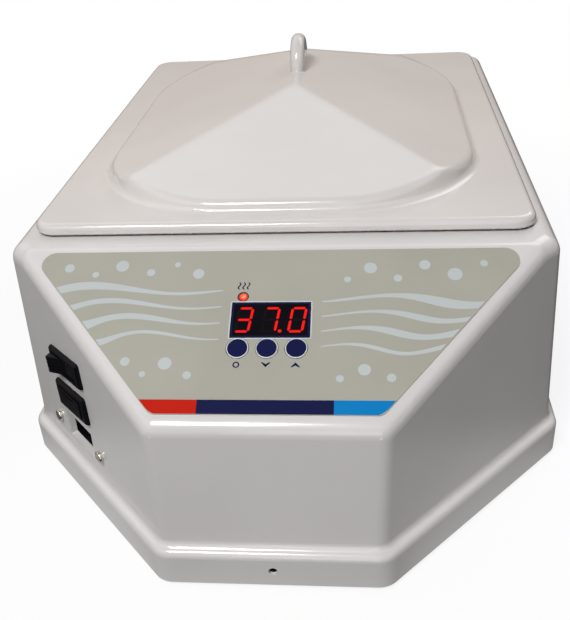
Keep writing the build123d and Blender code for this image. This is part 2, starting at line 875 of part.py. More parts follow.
def heating_lamp():
    """Round-topped lamp from the board up through the film."""
    height = board_depth + film_thickness + lamp_radius / 2
    lamp = rod(lamp_radius, height)
    lamp = fillet(lamp.edges().sort_by(Axis.Z)[-1], 0.9 * lamp_radius)
    lamp += rod(lamp_flange_radius, lamp_flange_height)
    return on_panel(lamp_x, lamp_drop, board_depth) * lamp


def key(place):
    """A key: round cap standing a little over the film, and a stem into its switch."""
    top = film_thickness + key_proud
    cap = Pos(0, 0, top - key_thickness) * rod(key_radius, key_thickness)
    cap = fillet(cap.edges().sort_by(Axis.Z)[-1], key_edge_radius)
    stem_end = tact_height - board_depth - key_engagement
    stem = Pos(0, 0, stem_end) * rod(key_stem_radius, top - key_thickness - stem_end)
    return place * (cap + stem)


def rocker_place():
    """Frame of the rocker's axis: origin on the axis, Y along it, Z out of the wall."""
    return on_mains(switch_height, rocker_pivot_depth)


def bezel(height):
    """Flat front of a mains fitting, its outer edges bevelled."""
    plate = slab(switch_bezel_length, height, bezel_thickness, bezel_radius)
    return chamfer(plate.faces().sort_by(Axis.Z)[-1].edges(), bezel_bevel)


def power_switch():
    """Switch body with its flat bezel and the round pocket the rocker swings in."""
    body = Pos(0, 0, -switch_body_depth) * slab(switch_body_length, switch_body_height, switch_body_depth)
    body += bezel(switch_bezel_height)
    pocket = Rot(90, 0, 0) * Cylinder(rocker_radius + fit_gap, rocker_width + 2 * fit_gap)
    body -= Pos(0, 0, -rocker_pivot_depth) * pocket
    return on_mains(switch_height) * body


def power_rocker():
    """Rocker with two shallow wings over a round back, its rear end standing out."""
    tip_x = math.sqrt(rocker_radius**2 - rocker_tip**2)
    back = ThreePointArc((tip_x, rocker_tip), (0, -rocker_radius), (-tip_x, rocker_tip))
    wings = Polyline((-tip_x, rocker_tip), (0, rocker_valley), (tip_x, rocker_tip))
    face = make_face(back + wings)
    piece = extrude(Plane.XZ * face, rocker_width / 2, both=True)
    return rocker_place() * Rot(0, rocker_swing, 0) * piece


def switch_blades():
    """Tab terminals on the back of the switch."""
    blade = Box(blade_thickness, blade_width, blade_length, align=(Align.CENTER, Align.CENTER, Align.MAX))
    place = on_mains(switch_height, switch_body_depth)
    return [place * Pos(step * blade_pitch, 0, 0) * blade for step in (-1, 0, 1)]


def fuse_holder():
    """Flat-fronted holder with a deep pocket for the fuse drawer."""
    body = Pos(0, 0, -fuse_body_depth) * slab(fuse_body_length, fuse_body_height, fuse_body_depth)
    body += bezel(fuse_bezel_height)
    pocket = Box(
        drawer_length + 2 * fit_gap,
        drawer_height + 2 * fit_gap,
        drawer_depth - drawer_proud + fit_gap,
        align=(Align.CENTER, Align.CENTER, Align.MAX),
    )
    body -= Pos(0, 0, bezel_thickness) * pocket
    return on_mains(fuse_height) * body


def fuse_place():
    """Frame in the middle of the fuse, X along it."""
    depth = drawer_depth - drawer_proud - bezel_thickness - 1.2 - fuse_cap_radius - fit_gap
    return on_mains(fuse_height, depth)


def fuse_drawer():
    """Drawer that draws straight out, with a finger groove and a trough for the fuse."""
    face_z = bezel_thickness + drawer_proud
    drawer = Pos(0, 0, face_z - drawer_depth) * slab(drawer_length, drawer_height, drawer_depth)
    drawer -= Pos(0, 0.3 * drawer_height, face_z) * Box(0.5 * drawer_length, 1.2, 1.2)
    drawer = on_mains(fuse_height) * drawer
    trough_length = fuse_length + 2 * fit_gap
    trough_width = 2 * (fuse_cap_radius + fit_gap)
    trough = Pos(0, drawer_height / 2 - trough_width / 2, 0) * Box(
        trough_length, drawer_height, trough_width
    )
    return drawer - fuse_place() * trough


def fuse():
    """Glass tube of the fuse."""
    half = fuse_length / 2 - fuse_cap_wall
    tube = Cylinder(fuse_radius, 2 * half) - Cylinder(fuse_bore_radius, 2 * half)
    return fuse_place() * Rot(0, 90, 0) * tube


def fuse_caps():
    """Metal end caps of the fuse."""
    cap = rod(fuse_cap_radius, fuse_cap_length)
    cap -= rod(fuse_radius + fit_gap, fuse_cap_length - fuse_cap_wall)
    cap = Pos(0, 0, fuse_length / 2 - fuse_cap_length) * cap
    return [fuse_place() * Rot(0, turn, 0) * cap for turn in (90, -90)]


def inlet_socket(depth):
    """The socket's opening in outline, two corners cut off, cut in from its front."""
    half_x = inlet_socket_length / 2
    half_y = inlet_socket_height / 2
    cut = inlet_socket_chamfer
    points = [
        (-half_x, -half_y),
        (half_x, -half_y),
        (half_x, half_y - cut),
        (half_x - cut, half_y),
        (-half_x + cut, half_y),
        (-half_x, half_y - cut),
    ]
    return Pos(0, 0, -depth) * extrude(make_face(Polyline(*points, close=True)), 2 * depth)


def mains_inlet():
    """Appliance inlet screwed behind the wall: flange, body and socket."""
    flange = Pos(0, 0, -inlet_flange_thickness) * slab(
        inlet_flange_length, inlet_flange_height, inlet_flange_thickness, inlet_corner
    )
    body = Pos(0, 0, -inlet_body_depth) * slab(
        inlet_body_length, inlet_body_height, inlet_body_depth, inlet_corner
    )
    inlet = flange + body - inlet_socket(inlet_socket_depth)
    inlet = on_chamfer(mains_along + inlet_shift, inlet_height, shell_wall) * inlet
    for place in inlet_screw_places():
        inlet -= place * Cylinder(inlet_screw_radius + fit_gap, 8 * inlet_flange_thickness)
    return inlet


def inlet_pins():
    """Three flat contact pins standing on the socket's floor."""
    pin = Pos(0, 0, -inlet_socket_depth) * slab(pin_thickness, pin_height, pin_length)
    pin = chamfer(pin.faces().sort_by(Axis.Z)[-1].edges(), 0.4)
    place = on_chamfer(mains_along + inlet_shift, inlet_height, shell_wall)
    return [
        place * Pos(x, y, 0) * pin
        for x, y in ((-pin_spread, -pin_offset), (0, pin_offset), (pin_spread, -pin_offset))
    ]


def inlet_screw_length():
    """Length of the inlet screws' shanks, through wall, flange and nut."""
    return shell_wall + inlet_flange_thickness + inlet_nut_height + inlet_screw_end


def inlet_screws():
    """Screws holding the inlet, their heads outside on the wall."""
    screw = pan_screw(
        inlet_screw_radius, inlet_screw_length(), inlet_screw_head_radius, inlet_screw_head_height
    )
    return [place * screw for place in inlet_screw_places()]


def inlet_nuts():
    """Nuts of the inlet screws behind the flange."""
    piece = nut(inlet_nut_width, inlet_nut_height, inlet_screw_radius)
    back = shell_wall + inlet_flange_thickness + inlet_nut_height
    return [place * Pos(0, 0, -back) * piece for place in inlet_screw_places()]


def power_board():
    """Circuit board on the base plate."""
    board = slab(power_board_width, power_board_length, board_thickness, 1.5)
    board = Pos(0, power_board_y, power_board_z) * board
    for x, y in power_board_points:
        board -= Pos(x, y, power_board_z) * Cylinder(board_screw_radius + fit_gap, 4 * board_thickness)
    return board


def power_board_posts():
    """Spacers between the base plate and the power board."""
    post = rod(standoff_radius, power_standoff) - rod(board_screw_radius + fit_gap, power_standoff)
    return [Pos(x, y, plate_top_z) * post for x, y in power_board_points]


def power_board_screws():
    """Screws down through the power board into its spacers."""
    length = board_thickness + board_screw_bite
    screw = pan_screw(board_screw_radius, length, board_screw_head_radius, board_screw_head_height)
    top = power_board_z + board_thickness
    return [Pos(x, y, top) * screw for x, y in power_board_points]


def on_power_board(x, shift):
    """Place on top of the power board."""
    return Pos(x, power_board_y + shift, power_board_z + board_thickness)


def transformer():
    """Encapsulated mains transformer."""
    block = slab(transformer_width, transformer_depth, transformer_height)
    block = fillet(block.edges().filter_by(Axis.Z), 2.0)
    return on_power_board(transformer_x, 0) * chamfer(block.faces().sort_by(Axis.Z)[-1].edges(), 1.0)


def relay():
    """Heater relay."""
    block = slab(relay_width, relay_depth, relay_height)
    return on_power_board(relay_x, relay_shift) * chamfer(block.faces().sort_by(Axis.Z)[-1].edges(), 0.8)


def terminal_block():
    """Screw terminals with an entry and a screw pocket for each way."""
    length = terminal_count * terminal_pitch
    block = slab(length, terminal_depth, terminal_height)
    block = chamfer(block.faces().sort_by(Axis.Z)[-1].edges().sort_by(Axis.Y)[-1], 3.0)
    for way in range(terminal_count):
        x = (way - (terminal_count - 1) / 2) * terminal_pitch
        block -= Pos(x, -1.5, terminal_height) * Cylinder(terminal_screw_radius, 5.0)
        block -= Pos(x, terminal_depth / 2, 4.0) * Box(0.6 * terminal_pitch, 5.0, 4.5)
    return on_power_board(terminal_x, terminal_shift) * block


def earth_stud():
    """Earth stud and its nut, riveted to the base plate."""
    stud = rod(earth_stud_radius, earth_stud_height) + hexagon(earth_nut_width, earth_nut_height)
    return Pos(earth_x, earth_y, plate_top_z) * stud


left_key, middle_key, right_key = key_places()
nodes = {
    "housing_shell": housing_shell(),
    "base_plate": base_plate(),
    "base_screws": base_screws(),
    "feet": feet(),
    "foot_screws": foot_screws(),
    "foot_nuts": foot_nuts(),
    "tank": tank(),
    "tank_gasket": tank_gasket(),
    "tank_insulation": tank_insulation(),
    "heater": heater(),
    "heater_glands": heater_glands(),
    "temperature_probe": temperature_probe(),
    "probe_gland": gland(*tank_ports()[1], probe_radius),
    "safety_thermostat": safety_thermostat(),
    "tank_shelf": tank_shelf(),
    "lid": lid(),
    "panel_overlay": panel_overlay(),
    "display_window": display_window(),
    "display_module": display_module(),
    "display_board": display_board(),
    "board_standoffs": board_standoffs(),
    "board_screws": board_screws(),
    "tact_switches": tact_switches(),
    "heating_lamp": heating_lamp(),
    "key_left": key(left_key),
    "key_middle": key(middle_key),
    "key_right": key(right_key),
    "power_switch": power_switch(),
    "power_rocker": power_rocker(),
    "switch_blades": switch_blades(),
    "fuse_holder": fuse_holder(),
    "fuse_drawer": fuse_drawer(),
    "fuse": fuse(),
    "fuse_caps": fuse_caps(),
    "mains_inlet": mains_inlet(),
    "inlet_pins": inlet_pins(),
    "inlet_screws": inlet_screws(),
    "inlet_nuts": inlet_nuts(),
    "power_board": power_board(),
    "power_board_posts": power_board_posts(),
    "power_board_screws": power_board_screws(),
    "transformer": transformer(),
    "relay": relay(),
    "terminal_block": terminal_block(),
    "earth_stud": earth_stud(),
}
os.makedirs("parts", exist_ok=True)
for name, shape in nodes.items():
    if isinstance(shape, list):
        shape = Compound(children=shape)
    export_step(shape, f"parts/{name}.step")
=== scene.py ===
import math

import bpy
import numpy as np
from mathutils import Matrix, Vector


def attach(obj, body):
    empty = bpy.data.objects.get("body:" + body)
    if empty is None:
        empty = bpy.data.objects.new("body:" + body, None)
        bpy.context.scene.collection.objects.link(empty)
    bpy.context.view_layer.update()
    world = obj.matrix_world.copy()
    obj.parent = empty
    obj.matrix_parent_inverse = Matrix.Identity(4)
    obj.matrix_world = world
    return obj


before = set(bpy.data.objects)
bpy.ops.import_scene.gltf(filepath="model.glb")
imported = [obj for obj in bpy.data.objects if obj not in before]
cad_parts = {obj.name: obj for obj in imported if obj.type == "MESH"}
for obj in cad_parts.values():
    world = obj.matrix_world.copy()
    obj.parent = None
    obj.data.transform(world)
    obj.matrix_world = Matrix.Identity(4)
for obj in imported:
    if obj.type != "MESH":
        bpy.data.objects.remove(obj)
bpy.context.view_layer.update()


# Camera: in front of the bath, a little to its right and above it, looking down on the lid. The heading,
# dip and roll are in radians, the place is in metres, and the focal length counts pixels of the height.
heading, dip, roll = -0.116, 0.542, -0.065
camera_place = (0.045719, -0.503231, 0.323857)
focal_pixels, image_height, sensor_mm = 833.291, 620.0, 36.0
ahead = Vector((math.sin(heading) * math.cos(dip), math.cos(heading) * math.cos(dip), -math.sin(dip)))
level = Vector((math.cos(heading), -math.sin(heading), 0.0))
upright = level.cross(ahead)
right = level * math.cos(roll) + upright * math.sin(roll)
top = upright * math.cos(roll) - level * math.sin(roll)
camera = bpy.data.objects.new("camera", bpy.data.cameras.new("camera"))
camera.data.lens = focal_pixels * sensor_mm / image_height
camera.data.clip_start = 0.01
turn = Matrix((right, top, -ahead)).transposed()
camera.matrix_world = Matrix.Translation(camera_place) @ turn.to_4x4()
bpy.context.scene.collection.objects.link(camera)
bpy.context.scene.camera = camera
bpy.context.scene.view_settings.view_transform = "Standard"


# Floor: a matt white table. The camera sees it nearly white, whiter with distance, and the bath's soft
# shadow stays on it. Close to the bath it also glows a little and lights the skirt, as a bright table does.
def linear(code):
    """sRGB hex colour to linear values with alpha 1."""
    part = np.array([int(code[i : i + 2], 16) for i in (1, 3, 5)]) / 255.0
    value = np.where(part <= 0.04045, part / 12.92, ((part + 0.055) / 1.055) ** 2.4)
    return (*[float(v) for v in value], 1.0)


def node(tree, kind, settings=(), stops=(), **inputs):
    """Adds one node with its settings and links. An input is a value or another node's output socket, and
    i0, i1 and so on name it by number. A colour ramp takes its stops as (position, hex or grey) pairs."""
    made = tree.nodes.new(kind)
    for key, value in dict(settings).items():
        setattr(made, key, value)
    for position, value in stops[1:-1]:
        made.color_ramp.elements.new(position)
    for element, (position, value) in zip(made.color_ramp.elements if stops else (), stops):
        element.position = position
        element.color = linear(value) if isinstance(value, str) else (value, value, value, 1.0)
    for key, value in inputs.items():
        socket = made.inputs[int(key[1:]) if key[0] == "i" and key[1:].isdigit() else key.replace("_", " ")]
        if isinstance(value, bpy.types.NodeSocket):
            tree.links.new(value, socket)
        else:
            socket.default_value = value
    return made


def bare_material(name):
    """A new material with no nodes yet, and its node tree."""
    made = bpy.data.materials.new(name)
    made.use_nodes = True
    made.node_tree.nodes.clear()
    return made, made.node_tree


def mesh_object(name, points, faces, material):
    """An object at the origin from points in metres and faces as lists of point numbers."""
    mesh = bpy.data.meshes.new(name)
    mesh.from_pydata(np.asarray(points, float).tolist(), [], [list(map(int, face)) for face in faces])
    mesh.materials.append(material)
    made = bpy.data.objects.new(name, mesh)
    bpy.context.scene.collection.objects.link(made)
    return made


# inside_skirt is half of a box that lies a little inside the skirt, and so tall that height never counts.
floor_half = 4.0
fade_start, fade_end, white_near, white_far = 0.22, 0.5, 0.85, 1.0
inside_skirt = (0.13, 0.2, 1.0)
glow_start, glow_end, glow_near = 0.015, 0.05, 0.4
matt_bounce, mirror_bounce = 0.2, 0.1
full_white = (1, 1, 1, 1)
floor_paint, tree = bare_material("studio_floor_paint")
path = node(tree, "ShaderNodeLightPath")
place = node(tree, "ShaderNodeTexCoord")
reach = node(tree, "ShaderNodeVectorMath", {"operation": "LENGTH"}, i0=place.outputs["Object"])
white_part = node(tree, "ShaderNodeMapRange", Value=reach.outputs["Value"], i1=fade_start, i2=fade_end,
                  i3=white_near, i4=white_far)
folded = node(tree, "ShaderNodeVectorMath", {"operation": "ABSOLUTE"}, i0=place.outputs["Object"])
beyond = node(tree, "ShaderNodeVectorMath", {"operation": "SUBTRACT"}, i0=folded.outputs[0], i1=inside_skirt)
beside = node(tree, "ShaderNodeVectorMath", {"operation": "MAXIMUM"}, i0=beyond.outputs[0], i1=(0, 0, 0))
gap = node(tree, "ShaderNodeVectorMath", {"operation": "LENGTH"}, i0=beside.outputs[0])
table_glow = node(tree, "ShaderNodeMapRange", Value=gap.outputs["Value"], i1=glow_start, i2=glow_end,
                  i3=glow_near, i4=0.0)
share = node(tree, "ShaderNodeMix", i0=path.outputs["Is Camera Ray"], i2=table_glow.outputs[0],
             i3=white_part.outputs[0])
bounce = node(tree, "ShaderNodeMapRange", Value=path.outputs["Is Glossy Ray"], i1=0.0, i2=1.0,
              i3=matt_bounce, i4=mirror_bounce)
shade = node(tree, "ShaderNodeMix", {"data_type": "RGBA"}, i0=path.outputs["Is Camera Ray"],
             i6=bounce.outputs[0], i7=full_white)
matt = node(tree, "ShaderNodeBsdfDiffuse", Color=shade.outputs[2])
glow = node(tree, "ShaderNodeEmission", Color=full_white, Strength=1.0)
mixed = node(tree, "ShaderNodeMixShader", Fac=share.outputs[0], i1=matt.outputs[0], i2=glow.outputs[0])
node(tree, "ShaderNodeOutputMaterial", Surface=mixed.outputs[0])
floor_corners = [(x * floor_half, y * floor_half, 0) for x, y in ((-1, -1), (1, -1), (1, 1), (-1, 1))]
floor = mesh_object("floor", floor_corners, [(0, 1, 2, 3)], floor_paint)


# Room: white to the camera and through glass. On matt surfaces its light is weak in front and stronger
# behind. Gloss and metal mirror warm low walls, bright upper walls and a darker ceiling, which gives them
# depth where a plain white room would veil them.
front_edge, back_edge, front_fill, back_fill = -0.2, 0.9, 0.07, 0.48
wall_stops = ((0.38, "#B2A297"), (0.6, "#FFFFFF"), (0.75, "#F2F2F2"), (0.93, "#4A4A4A"))
wall_strength = 1.4
world = bpy.data.worlds.new("studio")
bpy.context.scene.world = world
world.use_nodes = True
tree = world.node_tree
tree.nodes.clear()
path = node(tree, "ShaderNodeLightPath")
seen = node(tree, "ShaderNodeMath", {"operation": "MAXIMUM"}, i0=path.outputs["Is Camera Ray"],
            i1=path.outputs["Is Transmission Ray"])
around = node(tree, "ShaderNodeTexCoord")
way = node(tree, "ShaderNodeSeparateXYZ", i0=around.outputs["Generated"])
fill = node(tree, "ShaderNodeMapRange", Value=way.outputs["Y"], i1=front_edge, i2=back_edge,
            i3=front_fill, i4=back_fill)
room = node(tree, "ShaderNodeBackground", Color=full_white, Strength=fill.outputs[0])
white = node(tree, "ShaderNodeBackground", Color=full_white, Strength=1.0)
walls = node(tree, "ShaderNodeValToRGB", stops=wall_stops, Fac=way.outputs["Z"])
mirrored = node(tree, "ShaderNodeBackground", Color=walls.outputs["Color"], Strength=wall_strength)
indirect = node(tree, "ShaderNodeMixShader", Fac=path.outputs["Is Glossy Ray"], i1=room.outputs[0],
                i2=mirrored.outputs[0])
mixed = node(tree, "ShaderNodeMixShader", Fac=seen.outputs[0], i1=indirect.outputs[0], i2=white.outputs[0])
node(tree, "ShaderNodeOutputWorld", Surface=mixed.outputs[0])


# Lamps: the main one hangs over the bath's left front, a weak one stands low in front of it, and a wide one
# behind its right side lights the back. A row is the name, place, aim, side in metres, and power in watts.
for name, place, aim, size, power in (
    ("overhead_lamp", (-0.33, -0.9, 1.3), (0.0, 0.0, 0.1), 0.42, 15.6),
    ("front_lamp", (0.05, -1.3, 0.3), (0.0, -0.2, 0.05), 0.5, 1.5),
    ("rear_lamp", (0.8, 1.1, 1.35), (0.0, 0.1, 0.1), 0.9, 5.5),
):
    lamp = bpy.data.objects.new(name, bpy.data.lights.new(name, "AREA"))
    lamp.data.shape = "SQUARE"
    lamp.data.size = size
    lamp.data.energy = power
    lamp.location = place
    lamp.rotation_euler = (Vector(aim) - Vector(place)).to_track_quat("-Z", "Y").to_euler()
    bpy.context.scene.collection.objects.link(lamp)


# Housing: hand-laid glass fibre with a sprayed gel coat, one moulding. The coat is glossy, with the
# faint orange peel and the slow unevenness of a sprayed mould.
def dress(material, *names):
    """Gives CAD nodes one material in place of what they have."""
    for name in names:
        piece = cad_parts[name]
        piece.data.materials.clear()
        piece.data.materials.append(material)


def object_noise(tree, size_mm, detail=2.0, stretch=(1, 1, 1)):
    """Noise on Object coordinates whose spots are about size_mm across; its Fac output socket."""
    place = node(tree, "ShaderNodeTexCoord")
    scaled = node(tree, "ShaderNodeMapping", Vector=place.outputs["Object"], Scale=stretch)
    spots = node(tree, "ShaderNodeTexNoise", Vector=scaled.outputs[0], Scale=1000.0 / size_mm, Detail=detail)
    return spots.outputs["Fac"]


def drift(low, high):
    """Ramp stops from low to high over the middle of a noise, where nearly all of its values lie."""
    return (0.3, low), (0.7, high)


def coated(name, low, high, gloss, spot_mm, peel_mm, peel, shine=0.5):
    """Plastic or paint: colour drifts from low to high over spot_mm, roughness between the two values of
    gloss over finer spots, and a bump of peel metres has waves of peel_mm. shine is the specular level."""
    made, tree = bare_material(name)
    waves = object_noise(tree, peel_mm)
    bump = node(tree, "ShaderNodeBump", {"name": "surface_bump"}, Height=waves, Strength=1.0, Distance=peel)
    colour = node(tree, "ShaderNodeValToRGB", stops=drift(low, high), Fac=object_noise(tree, spot_mm))
    rough = node(tree, "ShaderNodeValToRGB", stops=drift(*gloss), Fac=object_noise(tree, spot_mm / 2.5))
    shader = node(tree, "ShaderNodeBsdfPrincipled", Base_Color=colour.outputs["Color"],
                  Roughness=rough.outputs["Color"], IOR=1.5, Specular_IOR_Level=shine,
                  Normal=bump.outputs[0])
    node(tree, "ShaderNodeOutputMaterial", Surface=shader.outputs[0])
    return made


gel_coat = coated("sprayed_gel_coat", "#DBD8D7", "#E0DDDC", (0.13, 0.2), 70, 5, 0.00002)
dress(gel_coat, "housing_shell")


# Lid: the same lay-up in its own mould, a little warmer in colour and polished. Resin and gel coat fill the
# mould's inner corners, so light turns softly over the dome's ridges. The softness starts above the eaves
# and fades out round the finger grip, which keeps its own root.
lid_coat = coated("polished_gel_coat", "#DDD8D5", "#E2DDDA", (0.1, 0.16), 60, 7, 0.00002)
ridge_softness, softness_rays = 0.012, 8
eaves_end, dome_start = 0.152, 0.158
grip_y, grip_stretch = 0.067, 0.4
grip_root, grip_clear = 0.006, 0.02
tree = lid_coat.node_tree
place = node(tree, "ShaderNodeTexCoord")
height = node(tree, "ShaderNodeSeparateXYZ", i0=place.outputs["Object"])
over_eaves = node(tree, "ShaderNodeMapRange", Value=height.outputs["Z"], i1=eaves_end, i2=dome_start,
                  i3=0.0, i4=ridge_softness)
from_grip = node(tree, "ShaderNodeMapping", Vector=place.outputs["Object"], Scale=(1.0, grip_stretch, 0.0),
                 Location=(0.0, -grip_stretch * grip_y, 0.0))
grip_gap = node(tree, "ShaderNodeVectorMath", {"operation": "LENGTH"}, i0=from_grip.outputs[0])
clear_of_grip = node(tree, "ShaderNodeMapRange", Value=grip_gap.outputs["Value"], i1=grip_root,
                     i2=grip_clear, i3=0.0, i4=ridge_softness)
softness = node(tree, "ShaderNodeMath", {"operation": "MINIMUM"}, i0=over_eaves.outputs[0],
                i1=clear_of_grip.outputs[0])
soft_ridge = node(tree, "ShaderNodeBevel", {"samples": softness_rays}, Radius=softness.outputs[0])
tree.links.new(soft_ridge.outputs[0], tree.nodes["surface_bump"].inputs["Normal"])
dress(lid_coat, "lid")


# Tank, shelf and probe: pressed and brushed stainless steel, satin with fine lines from the brush. The
# lines are drawn as coarse as they need to show.
def metal(name, low, high, gloss, grain_mm, stretch=(1, 1, 1), lines=0.00001):
    """Bare metal: colour and roughness follow a noise of grain_mm, drawn out by stretch, and its bump is
    lines metres deep."""
    made, tree = bare_material(name)
    grain = object_noise(tree, grain_mm, 4.0, stretch)
    bump = node(tree, "ShaderNodeBump", Height=grain, Strength=0.6, Distance=lines)
    colour = node(tree, "ShaderNodeValToRGB", stops=drift(low, high), Fac=grain)
    rough = node(tree, "ShaderNodeValToRGB", stops=drift(*gloss), Fac=grain)
    shader = node(tree, "ShaderNodeBsdfPrincipled", Base_Color=colour.outputs["Color"], Metallic=1.0,
                  Roughness=rough.outputs["Color"], Normal=bump.outputs[0])
    node(tree, "ShaderNodeOutputMaterial", Surface=shader.outputs[0])
    return made


stainless = metal("brushed_stainless_steel", "#B4B4B2", "#C9C9C6", (0.2, 0.3), 0.9, (1, 0.04, 1), 0.000003)
dress(stainless, "tank", "tank_shelf", "temperature_probe")


# Seal, feet and jacket: moulded black rubber, dull with a fine grain, under the flange and the base, and
# grey closed-cell foam, matt and pitted, round the tank.
rubber = coated("moulded_black_rubber", "#141414", "#1E1E1E", (0.6, 0.75), 12, 0.8, 0.00003)
dress(rubber, "tank_gasket", "feet")
foam = coated("closed_cell_foam", "#3A3C3E", "#4A4C4F", (0.8, 0.95), 6, 1.0, 0.0002)
dress(foam, "tank_insulation")


# Heater and brass fittings: a drawn stainless sheath, browned where it gets hot. Its glands, the spacers
# and the earth stud are turned brass, bright with a fine grain.
sheath = metal("heat_tinted_sheath", "#8C7A62", "#B3A890", (0.25, 0.4), 14)
dress(sheath, "heater")
brass = metal("turned_brass", "#B8924A", "#D6B368", (0.2, 0.32), 0.8)
dress(brass, "heater_glands", "probe_gland", "board_standoffs", "power_board_posts", "earth_stud")


# Closing sheet and fixings: a zinc-plated sheet, slightly blue and clouded, with bright nickel-plated
# screws and nuts. The skirt's four set screws are blackened, and the contacts are tinned.
zinc_sheet = metal("zinc_plated_sheet", "#A9ADB0", "#C4C8CA", (0.3, 0.45), 9)
dress(zinc_sheet, "base_plate")
nickel = metal("nickel_plated_screw", "#BDB9AE", "#E0DDD4", (0.12, 0.25), 2)
dress(nickel, "inlet_screws", "inlet_nuts", "foot_screws", "foot_nuts", "board_screws", "power_board_screws")
black_oxide = metal("black_oxide_steel", "#1A1817", "#2A2624", (0.35, 0.5), 1)
dress(black_oxide, "base_screws")
tinned = metal("tinned_contact", "#C8C8C4", "#E2E2DE", (0.15, 0.25), 3)
dress(tinned, "switch_blades", "fuse_caps", "inlet_pins")


# Panel film: polyester printed in a warm grey and stuck on the sloping panel, satin with a very fine
# grain. Its design is made of flat shapes that lie on it. Sizes on the panel are in millimetres.
film_face = coated("printed_polyester_film", "#ADAB9F", "#B2B0A5", (0.2, 0.27), 40, 0.6, 0.000002, 0.25)
dress(film_face, "panel_overlay")

slope = math.radians(27.8)
panel_origin = np.array([0.0, -0.135, 0.137])
up_slope = np.array([0.0, math.cos(slope), math.sin(slope)])
off_panel = np.array([0.0, -math.sin(slope), math.cos(slope)])
film_top_gap = 2.1
film_face_rise, ink_gap = 0.5, 0.02
print_rise = film_face_rise + ink_gap
film_length, half_top, half_low = 88.4, 126.0, 52.2


def on_film(flat, rise):
    """Points on the panel from (x, drop under the film's top edge) in mm, rise over the panel's skin:
    origin + x along the width - (gap + drop) up the slope + rise along the panel's normal."""
    flat = np.asarray(flat, float)
    across = flat[:, :1] * np.array([[1.0, 0.0, 0.0]])
    down = (film_top_gap + flat[:, 1:]) * up_slope
    return panel_origin + (across - down + rise * off_panel) / 1000.0


def film_half(drop):
    """Half the film's width at a drop, straight from its top edge to its foot."""
    return half_top + (half_low - half_top) * drop / film_length


def printed(name, body, material, rise, bands=(), fills=()):
    """One flat print: each band is the surface between two curves of equal length, each fill the
    convex area inside one outline. Faces are turned to look off the panel."""
    points, faces, count = [], [], 0
    for first, second in bands:
        first, second = np.asarray(first, float), np.asarray(second, float)
        n = len(first)
        points.append(on_film(np.vstack([first, second]), rise))
        i = count + np.arange(n - 1)
        faces += np.stack([i, i + 1, i + n + 1, i + n], axis=1).tolist()
        count += 2 * n
    for outline in fills:
        outline = np.asarray(outline, float)
        points.append(on_film(outline, rise))
        faces.append(list(range(count, count + len(outline))))
        count += len(outline)
    points = np.vstack(points)
    turned = []
    for face in faces:
        a, b, c = points[face[0]], points[face[1]], points[face[2]]
        turned.append(face if np.dot(np.cross(b - a, c - b), off_panel) > 0 else face[::-1])
    made = mesh_object(name, points, turned, material)
    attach(made, body)
    return made


def ink(name, code):
    """Screen ink under a satin film: one colour that is up to 7 percent darker in spots of 25 mm."""
    made, tree = bare_material(name)
    colour = linear(code)
    shade = tuple(0.93 * value for value in colour[:3]) + (1.0,)
    mixed = node(tree, "ShaderNodeMix", {"data_type": "RGBA"}, i0=object_noise(tree, 25), i6=colour,
                 i7=shade)
    shader = node(tree, "ShaderNodeBsdfPrincipled", Base_Color=mixed.outputs[2], Roughness=0.22, IOR=1.5,
                  Specular_IOR_Level=0.25)
    node(tree, "ShaderNodeOutputMaterial", Surface=shader.outputs[0])
    return made


# The tri-colour bar along the film's foot follows the film's slanted ends, and draws in along part of an
# ellipse at its rounded lower corners.
ink_red = ink("red_screen_ink", "#C9200F")
ink_navy = ink("navy_screen_ink", "#161B48")
ink_blue = ink("blue_screen_ink", "#0C82C8")
bar_height, foot_margin, end_margin = 7.2, 0.25, 0.35
left_bound, right_bound = -31.0, 30.6
corner = 5.0
corner_height, corner_draw, corner_share = corner * 0.75, corner * 0.62, 0.98
bar_top, bar_foot = film_length - bar_height, film_length - foot_margin
drops = bar_top + np.linspace(0, 1, 13) * (film_length - bar_top - foot_margin)
ease = np.clip((drops - (film_length - corner_height)) / corner_height, 0, 1)
half = film_half(drops) - end_margin - corner_draw * (1 - np.sqrt(1 - ease**2 * corner_share))
printed("stripe_red", "housing", ink_red, print_rise,
        bands=[(np.stack([-half, drops], 1), np.stack([np.full_like(drops, left_bound), drops], 1))])
printed("stripe_navy", "housing", ink_navy, print_rise,
        bands=[([(left_bound, bar_top), (left_bound, bar_foot)],
                [(right_bound, bar_top), (right_bound, bar_foot)])])
printed("stripe_blue", "housing", ink_blue, print_rise,
        bands=[(np.stack([np.full_like(drops, right_bound), drops], 1), np.stack([half, drops], 1))])


# A plain water pattern in pale ink: broad ripples that run in from the slanted ends and thin out towards
# the display, with round bubbles over and under them. A ripple's middle line is a sine wave, its half
# width swells towards the end, and both its edges end on the film's own edge.
def circle(x, drop, radius, count=48):
    """Outline of a circle as (x, drop) points: the centre + radius times (cosine, sine) of even angles."""
    angle = np.linspace(0, 2 * np.pi, count, endpoint=False)
    return np.stack([x + radius * np.cos(angle), drop + radius * np.sin(angle)], axis=1)


